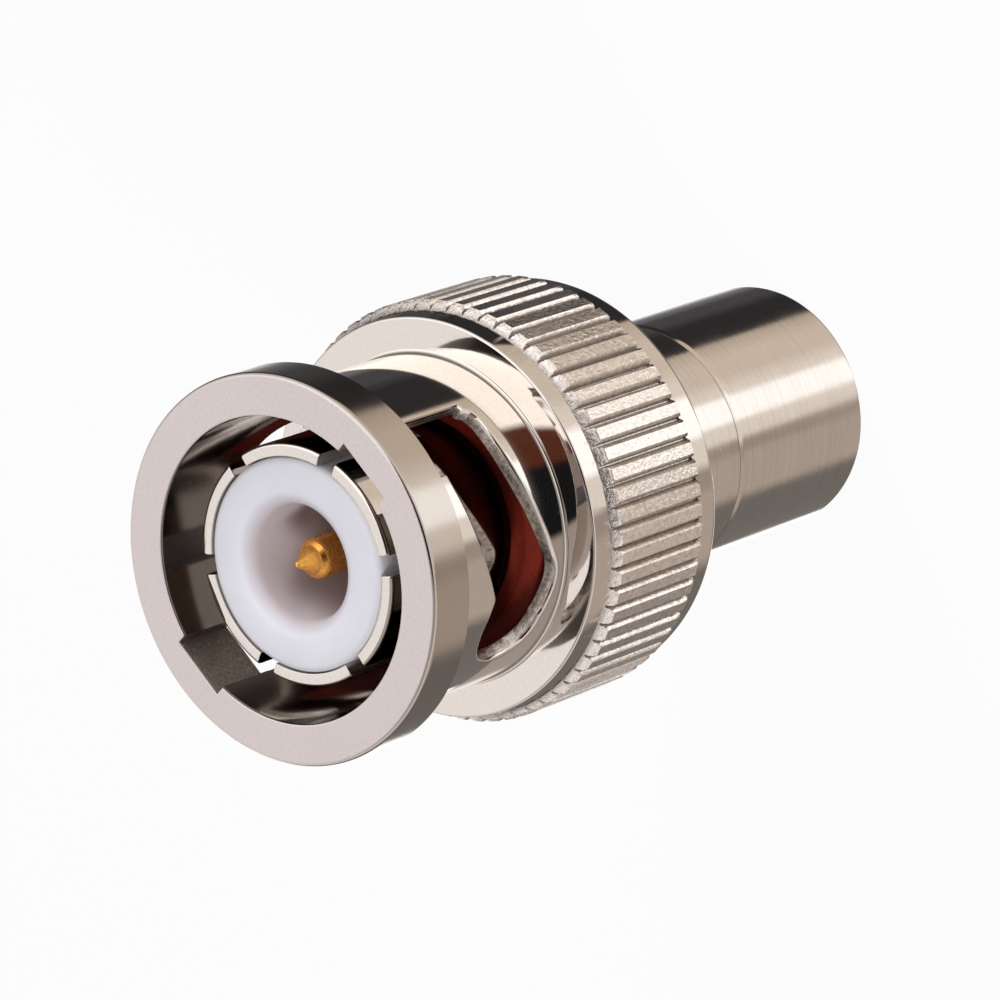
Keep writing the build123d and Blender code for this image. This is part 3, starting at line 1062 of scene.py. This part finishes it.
    def grip_outline(self) -> list[Corner]:
        """Half the section of shoulder, knurl and rear ring, with the rows that the ridges need.

        Returns:
            The corners in order.
        """
        crest = self.knurl_crest
        chamfer_foot = self.knurl_top - self.knurl_chamfer
        count = self.knurl_chamfer_rows
        drops = [self.knurl_chamfer * (1 - row / count) for row in range(count + 1)]
        rows = [chamfer_foot - self.knurl_row * step for step in range(1, 8)]
        return [
            Corner(self.bore, FLANGE_TOP),
            Corner(self.bore, self.shoulder_z),
            Corner(self.shoulder_radius, self.shoulder_z, self.shoulder_edge),
            *[Corner(max(crest - drop, self.shoulder_radius), chamfer_foot + drop) for drop in drops],
            *[Corner(crest, row) for row in rows if row > self.knurl_bottom + 0.2],
            Corner(crest, self.knurl_bottom + self.knurl_foot),
            Corner(crest - self.knurl_foot, self.knurl_bottom),
            Corner(self.ring_radius, self.knurl_bottom - 0.02),
            Corner(self.ring_radius, self.bottom, self.ring_edge),
            Corner(self.chamber, self.bottom, self.chamber_edge),
            Corner(self.chamber, self.groove_span[0]),
            Corner(self.groove, self.groove_span[0]),
            Corner(self.groove, self.groove_span[1]),
            Corner(self.chamber, self.groove_span[1]),
            Corner(self.chamber, FLANGE_TOP, self.chamber_edge),
        ]

    def grip(self) -> BM:
        """The shoulder, knurl and rear ring, turned, with the ridges then rolled in.

        Returns:
            The mesh.
        """
        per_ridge = len(self.ridge_columns)
        columns = self.ridges * per_ridge
        bm = turned(self.grip_outline(), columns=columns)
        pitch = 2 * pi / self.ridges
        for vert in bm.verts:
            radius = off_axis(vert.co)
            level = self.knurl_bottom - 0.005 < vert.co.z < self.knurl_top - 0.005
            if radius < self.shoulder_radius - 0.01 or not level:
                continue
            column = round(atan2(vert.co.y, vert.co.x) / (2 * pi) * columns) % columns
            share, rise = self.ridge_columns[column % per_ridge]
            angle = (column // per_ridge + share) * pitch
            radius = min(radius, self.knurl_root + rise)
            vert.co = Vector((radius * cos(angle), radius * sin(angle), vert.co.z))
        heal(bm)
        for face in bm.faces:
            centre = face.calc_center_median()
            level = self.knurl_bottom - 0.03 < centre.z < self.knurl_top
            knurled = level and off_axis(centre) > self.shoulder_radius - 0.05
            face.material_index = Skin.KNURL if knurled else Skin.BRIGHT
        return bm

    def build(self) -> bpy.types.Object:
        """Build and dress the nut.

        Returns:
            The piece.
        """
        whole = join(self.rim(), self.neck(), self.fillet(), self.grip())
        # Painted shade: the bore's faces in front of the shoulder get the darker, browner bore nickel.
        for face in whole.faces:
            centre = face.calc_center_median()
            if centre.z > self.shoulder_z and abs(off_axis(centre) - self.bore) < 0.02:
                face.material_index = Skin.SHADED_BORE
        rounds = (self.neck_radius, self.bore, self.rim_radius, self.shoulder_radius, self.ring_radius)
        skins = (RIM_FACE, BRIGHT, MILLED, KNURL, RIM_BAND, BROACHED, SHADED_BORE)
        return settle(whole, "bayonet_coupling_nut", skins, Body.NUT, "coupling_nut", rounds)


@dataclass
class PlugBody:
    """The outer contact: six spring fingers on a sleeve, then gasket seat, flange, collar and rear tube."""

    sleeve: float = 3.93
    sleeve_bore: float = 3.5
    sleeve_foot: float = 18.12
    top: float = 24.7
    slot_bottom: float = 20.5
    slot_width: float = 0.65
    fingers: int = 6
    finger_angle: float = -8.0
    edge: float = 0.12
    slot_edge: float = 0.03
    flange: float = 5.8
    flange_bottom: float = 14.6
    flange_edge: float = 0.08
    collar: float = 4.62
    collar_bottom: float = 10.9
    tube_bore: float = 3.62
    tube_edge: float = 0.03
    web_bore: float = 2.0

    def finger_ring(self) -> BM:
        """The fingers: one is cut out flat and raised, then repeated.

        Returns:
            The mesh.
        """
        half = self.slot_width / 2
        share = 360 / self.fingers
        outer = share / 2 - degrees(asin(half / self.sleeve))
        inner = share / 2 - degrees(asin(half / self.sleeve_bore))
        outline = arc(self.sleeve, -outer, outer) + arc(self.sleeve_bore, inner, -inner)
        above_slots = self.slot_bottom + 0.01
        bm = prism(outline, self.slot_bottom, self.top)
        soften(bm, lambda edge: on_ring(edge, self.sleeve, self.top), self.edge, 3)
        soften(
            bm, lambda edge: is_fold(edge) and min(v.co.z for v in edge.verts) > above_slots, self.slot_edge
        )
        repeat(bm, self.fingers)
        swivel(bm, self.finger_angle)
        heal(bm)
        return bm

    def rear(self) -> BM:
        """Everything behind the slots, turned.

        Returns:
            The mesh.
        """
        return turned(
            (
                Corner(self.sleeve_bore, WEB_TOP),
                Corner(self.sleeve_bore, self.slot_bottom),
                Corner(self.sleeve, self.slot_bottom),
                Corner(self.sleeve, self.sleeve_foot),
                Corner(GASKET_BORE, self.sleeve_foot),
                Corner(GASKET_BORE, FLANGE_TOP),
                Corner(self.flange, FLANGE_TOP, self.flange_edge),
                Corner(self.flange, self.flange_bottom, self.flange_edge),
                Corner(self.collar, self.flange_bottom),
                Corner(self.collar, self.collar_bottom, self.edge),
                Corner(TUBE_RADIUS, self.collar_bottom),
                Corner(TUBE_RADIUS, BARREL_TOP, self.tube_edge),
                Corner(self.tube_bore, BARREL_TOP),
                Corner(self.tube_bore, WEB_BOTTOM),
                Corner(self.web_bore, WEB_BOTTOM),
                Corner(self.web_bore, WEB_TOP),
            )
        )

    def build(self) -> bpy.types.Object:
        """Build and dress the outer contact.

        Returns:
            The piece.
        """
        whole = join(self.finger_ring(), self.rear())
        # The rear tube is turned like the barrel.
        for face in whole.faces:
            face.material_index = 1 if face.calc_center_median().z < self.collar_bottom + 0.1 else 0
        rounds = (self.sleeve, self.sleeve_bore, self.flange, self.collar, TUBE_RADIUS)
        skins = (BRIGHT, BARREL)
        return settle(whole, "spring_finger_body", skins, Body.ADAPTER, "plug_body", rounds)


@dataclass
class PlugFront:
    """What the fingers hold: white insulator, gilt pin and red gasket."""

    insulator_radius: float = 3.48
    insulator_top: float = 24.75
    insulator_edge: float = 0.25
    plug_radius: float = 1.98
    cavity: float = 1.9
    cavity_floor: float = 19.6
    cavity_lip: float = 0.55
    cavity_corner: float = 0.3
    pin_radius: float = 0.665
    pin_bottom: float = 10.3
    pin_edge: float = 0.1
    shank: float = 1.0
    shank_edge: float = 0.05
    cone_foot: Corner = Corner(0.47, 23.96, 0.03)
    cone_tip: Corner = Corner(0.07, 24.65, 0.04)
    cone_shoulder_z: float = 23.8
    gasket_radius: float = 4.64
    gasket_top: float = 18.1
    gasket_top_edge: float = 0.2
    gasket_foot_edge: float = 0.08

    def insulator(self) -> bpy.types.Object:
        """Build the white sleeve with its deep cavity.

        Returns:
            The piece.
        """
        corners = (
            Corner(SHANK_BORE, WEB_BOTTOM),
            Corner(self.plug_radius, WEB_BOTTOM),
            Corner(self.plug_radius, WEB_TOP),
            Corner(self.insulator_radius, WEB_TOP),
            Corner(self.insulator_radius, self.insulator_top, self.insulator_edge),
            Corner(self.cavity, self.insulator_top, self.cavity_lip),
            Corner(self.cavity, self.cavity_floor, self.cavity_corner),
            Corner(SHANK_BORE, self.cavity_floor),
        )
        bm = turned(corners, segments=5)
        return settle(
            bm, "plug_insulator_sleeve", (PLASTIC,), Body.ADAPTER, "plug_insulator"
        )

    def pin(self) -> bpy.types.Object:
        """Build the pointed pin.

        Returns:
            The piece.
        """
        corners = (
            Corner(0.0, self.pin_bottom),
            Corner(self.shank, self.pin_bottom, self.shank_edge),
            Corner(self.shank, self.cavity_floor),
            Corner(self.pin_radius, self.cavity_floor),
            Corner(self.pin_radius, self.cone_shoulder_z, self.pin_edge),
            self.cone_foot,
            self.cone_tip,
            Corner(0.0, self.cone_tip.z),
        )
        bm = turned(corners, columns=96)
        return settle(bm, "gilt_centre_pin", (GOLD,), Body.ADAPTER, "centre_pin")

    def gasket(self) -> bpy.types.Object:
        """Build the soft ring on the sleeve.

        Returns:
            The piece.
        """
        corners = (
            Corner(GASKET_BORE, FLANGE_TOP),
            Corner(self.gasket_radius, FLANGE_TOP, self.gasket_foot_edge),
            Corner(self.gasket_radius, self.gasket_top, self.gasket_top_edge),
            Corner(GASKET_BORE, self.gasket_top),
        )
        return settle(turned(corners), "silicone_gasket", (SILICONE,), Body.ADAPTER, "gasket")

    def build(self) -> None:
        """Build all three."""
        self.insulator()
        self.pin()
        self.gasket()


@dataclass
class SpringPack:
    """The wave washer, thrust washer and split ring that hold the nut on."""

    waves: int = 3
    wave_height: float = 1.2
    wave_thickness: float = 0.25
    wave_span: Point = (4.74, 5.6)
    thrust_span: Point = (4.7, 5.54)
    ring_span: Point = (5.0, 6.14)
    ring_bottom: float = 12.4
    ring_gap: float = 1.6
    ring_gap_angle: float = 90.0
    edge: float = 0.05
    thrust_edge: float = 0.04

    def washer(self, span: Point, low_z: float, high_z: float, edge: float) -> BM:
        """A flat washer with rounded edges.

        Args:
            span: its inner and outer radius.
            low_z: height of its lower side.
            high_z: height of its upper side.
            edge: rounding of its edges.

        Returns:
            The mesh.
        """
        inner, outer = span
        corners = ((inner, low_z), (outer, low_z), (outer, high_z), (inner, high_z))
        return turned([Corner(radius, z, edge) for radius, z in corners])

    def wave_washer(self) -> bpy.types.Object:
        """Build the wavy washer in its free shape. The real one flattens as the nut is pulled forward.

        Returns:
            The piece.
        """
        bm = self.washer(self.wave_span, 0.0, self.wave_thickness, self.edge)
        swing = (self.wave_height - self.wave_thickness) / 2
        for vert in bm.verts:
            vert.co.z += WASHER_TOP + swing * (1 + cos(self.waves * atan2(vert.co.y, vert.co.x)))
        piece = settle(bm, "wavy_spring_washer", (SPRING,), Body.ADAPTER, "wave_washer")
        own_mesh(piece)
        return piece

    def thrust_washer(self) -> bpy.types.Object:
        """Build the flat washer.

        Returns:
            The piece.
        """
        bm = self.washer(self.thrust_span, WASHER_BOTTOM, WASHER_TOP, self.thrust_edge)
        return settle(bm, "flat_thrust_washer", (SPRING,), Body.WASHER, "thrust_washer")

    def split_ring(self) -> bpy.types.Object:
        """Build the split ring in the nut's groove.

        Returns:
            The piece.
        """
        inner_radius, outer_radius = self.ring_span
        outer = degrees(asin(self.ring_gap / 2 / outer_radius))
        inner = degrees(asin(self.ring_gap / 2 / inner_radius))
        outline = arc(outer_radius, outer, 360 - outer) + arc(inner_radius, 360 - inner, inner)
        bm = prism(outline, self.ring_bottom, WASHER_BOTTOM)
        soften(bm, is_fold, self.edge)
        swivel(bm, self.ring_gap_angle)
        return settle(bm, "split_retaining_ring", (SPRING,), Body.NUT, "retaining_ring")

    def build(self) -> None:
        """Build all three."""
        self.wave_washer()
        self.thrust_washer()
        self.split_ring()


@dataclass
class PhonoJack:
    """The jack end: barrel, its insulator and the slotted gilt socket."""

    barrel_radius: float = 4.15
    barrel_edge: float = 0.15
    barrel_chamfer: float = 0.12
    barrel_chamfer_edge: float = 0.04
    mouth: float = 3.3
    mouth_edge: float = 0.1
    spigot: float = 3.6
    spigot_bore: float = 3.0
    spigot_top: float = 11.98
    fit: float = 0.02
    insulator_bottom: float = 0.5
    insulator_edge: float = 0.08
    entry: float = 1.8
    entry_edge: float = 0.15
    socket_radius: float = 2.0
    socket_bore: float = 1.6
    socket_mouth: float = 1.1
    socket_floor: float = 9.9
    slot_width: float = 0.4
    slot_top: float = 7.1
    slot_edge: float = 0.02
    flare: float = 0.19

    def barrel(self) -> bpy.types.Object:
        """Build the barrel with its pressed-in spigot.

        Returns:
            The piece.
        """
        corners = (
            Corner(self.mouth, 0.0, self.mouth_edge),
            Corner(self.barrel_radius, 0.0, self.barrel_edge),
            Corner(self.barrel_radius, BARREL_TOP - self.barrel_chamfer, self.barrel_chamfer_edge),
            Corner(TUBE_RADIUS, BARREL_TOP),
            Corner(self.spigot, BARREL_TOP),
            Corner(self.spigot, self.spigot_top),
            Corner(self.spigot_bore, self.spigot_top),
            Corner(self.spigot_bore, BARREL_TOP),
            Corner(self.mouth, BARREL_TOP),
        )
        rounds = (self.barrel_radius, self.mouth)
        return settle(
            turned(corners), "phono_barrel", (BARREL,), Body.ADAPTER, "jack_shell", rounds
        )

    def insulator(self) -> bpy.types.Object:
        """Build the insulator with its flat mouth.

        Returns:
            The piece.
        """
        corners = (
            Corner(self.entry, self.insulator_bottom, self.entry_edge),
            Corner(self.mouth - self.fit, self.insulator_bottom, self.insulator_edge),
            Corner(self.mouth - self.fit, BARREL_TOP),
            Corner(self.spigot_bore - self.fit, BARREL_TOP),
            Corner(self.spigot_bore - self.fit, WEB_BOTTOM),
            Corner(self.socket_radius + self.fit, WEB_BOTTOM),
            Corner(self.socket_radius + self.fit, self.socket_mouth),
            Corner(self.entry, self.socket_mouth),
        )
        bm = turned(corners)
        return settle(
            bm, "phono_insulator_sleeve", (PLASTIC,), Body.ADAPTER, "jack_insulator"
        )

    def socket(self) -> bpy.types.Object:
        """Build the socket: two halves with a slot between them, on a turned base.

        Returns:
            The piece.
        """
        arc_step = 5
        half = self.slot_width / 2
        outer = degrees(asin(half / self.socket_radius))
        inner = degrees(asin(half / self.socket_bore))
        outline = arc(self.socket_radius, outer, 180 - outer, arc_step)
        outline += arc(self.socket_bore, 180 - inner, inner, arc_step)
        below_top = self.slot_top - 0.01
        jaws = prism(outline, self.socket_mouth, self.slot_top)
        soften(jaws, lambda edge: on_ring(edge, self.socket_bore, self.socket_mouth), self.flare, 3)
        soften(
            jaws, lambda edge: is_fold(edge) and max(v.co.z for v in edge.verts) < below_top, self.slot_edge
        )
        repeat(jaws, 2)
        heal(jaws)
        corners = (
            Corner(self.socket_bore, self.slot_top),
            Corner(self.socket_radius, self.slot_top),
            Corner(self.socket_radius, WEB_BOTTOM),
            Corner(SHANK_BORE, WEB_BOTTOM),
            Corner(SHANK_BORE, self.socket_floor),
            Corner(self.socket_bore, self.socket_floor),
        )
        bm = join(jaws, turned(corners, columns=72))
        return settle(bm, "slotted_socket", (GOLD,), Body.ADAPTER, "socket_contact")

    def build(self) -> None:
        """Build all three."""
        self.barrel()
        self.insulator()
        self.socket()


# Studio.


@dataclass(frozen=True)
class Panel:
    """One stretch of the studio wall: the heading where it starts, its colour, and how wide it blends in."""

    start: float
    colour: str
    blend: float = 6.0


@dataclass
class Studio:
    """A pale floor, a white background, and the panelled wall that bare metal mirrors.

    The wall has a lower and an upper ring of panels with a plain band between them, each set by the
    upward part of a ray's direction. The recess values say how bright each ring is when one metal
    surface sees it in another. Floor and softboxes don't show in metal, which sees the wall alone.
    """

    floor_size: float = 6000.0
    floor_drop: float = 0.02
    paper: str = "F4F4F4"
    paper_glow: float = 0.93
    matt_light: str = "888890"
    strength: float = 1.5
    lower_recess: float = 0.45
    upper_recess: float = 1.3
    middle: str = "CFCBC8"
    middle_from: Point = (-0.2, 0.1)
    upper_from: Point = (0.45, 0.6)
    lower: Sequence[Panel] = (
        Panel(-180.0, "FFFFFF", 4.0),
        Panel(-177.0, "676360", 4.0),
        Panel(-104.0, "A1968D", 10.0),
        Panel(-59.0, "91867F", 6.0),
        Panel(-46.0, "D2CBC3", 6.0),
        Panel(-29.0, "FFFFFF", 4.0),
        Panel(-5.0, "D2CAC2", 4.0),
        Panel(8.0, "C0B5A8", 12.0),
        Panel(40.0, "AFA294", 16.0),
        Panel(51.6, "29282A", 1.5),
        Panel(90.0, "3F3E40", 12.0),
        Panel(117.0, "5F5D60", 8.0),
        Panel(132.0, "A6A6A8", 6.0),
        Panel(144.0, "FFFFFF", 6.0),
    )
    upper: Sequence[Panel] = (
        Panel(-180.0, "DCDADA", 10.0),
        Panel(-172.0, "96908E", 10.0),
        Panel(-61.0, "141619", 5.0),
        Panel(-14.0, "512C22", 5.0),
        Panel(15.6, "FFFFFF", 5.0),
        Panel(125.0, "DCDADA", 12.0),
    )

    def floor(self) -> bpy.types.Object:
        """Lay the pale floor.

        Returns:
            The floor.
        """
        bm = bmesh.new()
        bmesh.ops.create_grid(bm, x_segments=2, y_segments=2, size=self.floor_size / 2 * MM)
        bmesh.ops.translate(bm, verts=bm.verts[:], vec=(0, 0, -self.floor_drop * MM))
        mesh = bpy.data.meshes.new("pale_floor")
        bm.to_mesh(mesh)
        bm.free()
        mesh.materials.append(self.floor_material())
        floor = put("pale_floor", mesh)
        floor.visible_glossy = False
        return floor

    def floor_material(self) -> bpy.types.Material:
        """White paper that keeps the object's shadow but meets the white background without an edge.

        Returns:
            The material.
        """
        material = bpy.data.materials.new("white_paper")
        material.use_nodes = True
        tree = material.node_tree
        shader = tree.nodes["Principled BSDF"]
        fill(shader, {"Base Color": self.paper, "Roughness": 0.9, "Specular IOR Level": 0.1})
        seen = add_node(tree, "LightPath", out="Is Camera Ray")
        glow = add_node(tree, "Emission", None, {"Color": "FFFFFF", "Strength": 1.0})
        share = add_node(tree, "Math", {"operation": "MULTIPLY"}, (seen, self.paper_glow))
        mix = add_node(tree, "MixShader", None, (share, shader.outputs["BSDF"], glow))
        fill(tree.nodes["Material Output"], {"Surface": mix})
        return material

    def ring(self, tree: Tree, share: Socket, panels: Sequence[Panel]) -> Socket:
        """One ring of panels as a ramp over a full turn.

        Args:
            tree: the world's node tree.
            share: the heading as a share of the turn.
            panels: the panels by heading.

        Returns:
            The ring's colour.
        """
        wall = add_node(tree, "ValToRGB", None, (share,))
        elements = wall.node.color_ramp.elements
        elements[0].color = elements[1].color = linear(panels[0].colour)
        for before, panel in zip(panels, panels[1:]):
            for side, colour in ((-1, before.colour), (1, panel.colour)):
                position = (panel.start + side * panel.blend / 2 + 180) / 360
                elements.new(position).color = linear(colour)
        return wall

    def surround(self) -> None:
        """Set up the world: white to the eye, plain to matt surfaces, panelled to bare metal."""
        world = bpy.data.worlds.new("studio")
        bpy.context.scene.world = world
        world.use_nodes = True
        tree = world.node_tree
        sky = add_node(tree, "TexCoord", out="Generated")
        way = add_node(tree, "SeparateXYZ", None, {"Vector": sky}).node.outputs
        heading = add_node(tree, "Math", {"operation": "ARCTAN2"}, (way["Y"], way["X"]))
        share = add_node(tree, "MapRange", None, (heading, -pi, pi))
        rays = add_node(tree, "LightPath").node.outputs
        again = rays["Glossy Depth"]
        dims = [
            add_node(tree, "MapRange", None, (again, 1.0, 2.0, self.strength, self.strength * recess))
            for recess in (self.lower_recess, self.upper_recess)
        ]
        lower, upper = [self.ring(tree, share, panels) for panels in (self.lower, self.upper)]
        flat = linear(self.middle)[:3]
        lower, plain, upper = [
            add_node(tree, "VectorMath", {"operation": "SCALE"}, {0: light, "Scale": dim})
            for light, dim in ((lower, dims[0]), (flat, dims[0]), (upper, dims[1]))
        ]
        colour = lower
        for ends, above in ((self.middle_from, plain), (self.upper_from, upper)):
            raised = add_node(tree, "MapRange", None, (way["Z"], *ends))
            colour = add_node(tree, "Mix", COLOURS, {0: raised, 6: colour, 7: above}, 2)
        for ray, light in (("Is Diffuse Ray", self.matt_light), ("Is Camera Ray", "FFFFFF")):
            colour = add_node(tree, "Mix", COLOURS, {0: rays[ray], 6: colour, 7: light}, 2)
        fill(tree.nodes["Background"], {"Color": colour, "Strength": 1.0})

    def lamp(self, name: str, place: Vector, size: float, power: float) -> None:
        """Hang a square softbox that faces the adapter.

        Args:
            name: its name.
            place: where it hangs.
            size: its side.
            power: its power in watts.
        """
        aim = Vector((0, 0, 15))
        light = bpy.data.lights.new(name, "AREA")
        light.size = size * MM
        light.energy = power
        lamp = put(name, light)
        lamp.location = place * MM
        lamp.rotation_euler = (place - aim).to_track_quat("Z", "Y").to_euler()
        lamp.visible_glossy = False
        lamp.visible_camera = False

    def build(self) -> None:
        """Set up floor, surround and softboxes."""
        self.floor()
        self.surround()
        self.lamp("key_softbox", Vector((190, 290, 160)), 220, 0.9)
        self.lamp("fill_softbox", Vector((85, -310, 270)), 120, 0.7)


@dataclass
class PhotoCamera:
    """The photograph's view, fitted to the rings that it shows. Roll is in degrees, sensor in millimetres."""

    place: Sequence[float] = (119.425, -52.246, 161.891)
    aim: Sequence[float] = (-0.057, -0.131, 14.560)
    roll: float = 108.966
    lens: float = 217.456
    sensor: float = 36.0

    def build(self) -> None:
        """Set up the camera."""
        camera = bpy.data.cameras.new("camera")
        camera.lens = self.lens
        camera.sensor_width = self.sensor
        camera.clip_start = 0.01
        camera.clip_end = 100
        place = Vector(self.place)
        back = (place - Vector(self.aim)).normalized()
        natural_up = (Vector((0, 0, 1)) - back * back.z).normalized()
        natural_right = natural_up.cross(back)
        up = natural_up * cos(radians(self.roll)) + natural_right * sin(radians(self.roll))
        turn = Matrix((up.cross(back), up, back)).transposed().to_4x4()
        holder = put("camera", camera)
        holder.matrix_world = Matrix.Translation(place * MM) @ turn
        bpy.context.scene.camera = holder


def main() -> None:
    """Build the whole scene."""
    logging.basicConfig(level=logging.INFO, format="%(name)s: %(message)s")
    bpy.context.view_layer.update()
    bpy.context.scene.view_settings.view_transform = "Standard"
    for part in (PhotoCamera, Studio, CouplingNut, PlugBody, PlugFront, SpringPack, PhonoJack):
        part().build()


if __name__ == "__main__":
    main()
